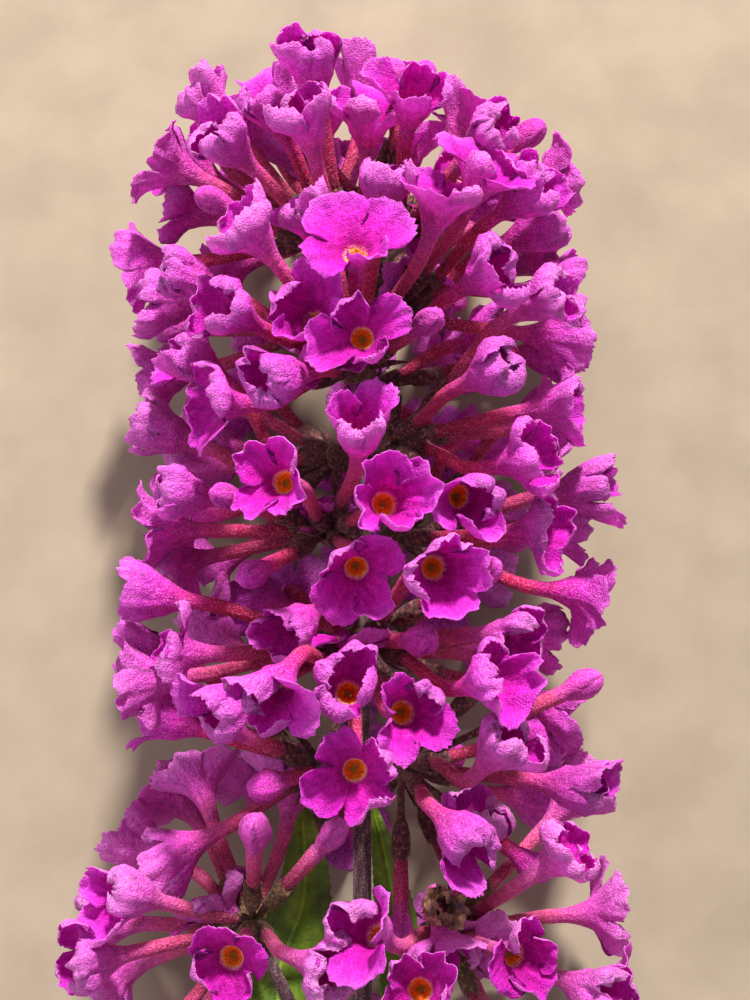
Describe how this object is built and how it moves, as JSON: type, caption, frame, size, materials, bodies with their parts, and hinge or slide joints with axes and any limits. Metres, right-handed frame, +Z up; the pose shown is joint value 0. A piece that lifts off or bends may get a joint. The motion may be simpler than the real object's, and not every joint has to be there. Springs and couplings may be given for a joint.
{
  "type": "butterfly bush flower spike",
  "caption": "Blunt magenta flower spike of opposite whorled bunches of tubular four-lobed florets on a bare stem, with stalked side heads and leaves, lying on its side.",
  "frame": {"origin": "middle of the bounding box, on the surface that the spike lies on", "axes": "+Y along the stem towards the tip of the spike, +Z up from the surface, +X to the right of the spike seen from above"},
  "size_m": [0.0486, 0.1166, 0.0415],
  "materials": {
    "floret": "matte",
    "calyx": "matte",
    "stem": "matte",
    "leaf": "satin"
  },
  "bodies": {
    "root": {"cyme_1a": "floret", "cyme_1b": "floret", "cyme_2a": "floret", "cyme_2b": "floret", "cyme_3a": "floret", "cyme_3b": "floret", "cyme_4a": "floret", "cyme_4b": "floret", "cyme_5a": "floret", "cyme_5b": "floret", "cyme_6a": "floret", "cyme_6b": "floret", "cyme_7a": "floret", "cyme_7b": "floret", "cyme_8a": "floret", "cyme_8b": "floret", "tip": "floret", "side_head_left": "floret", "side_head_right": "floret", "stem": "stem", "leaf_left": "leaf", "leaf_right": "leaf", "leaf_small": "leaf"}
  },
  "joints": []
}
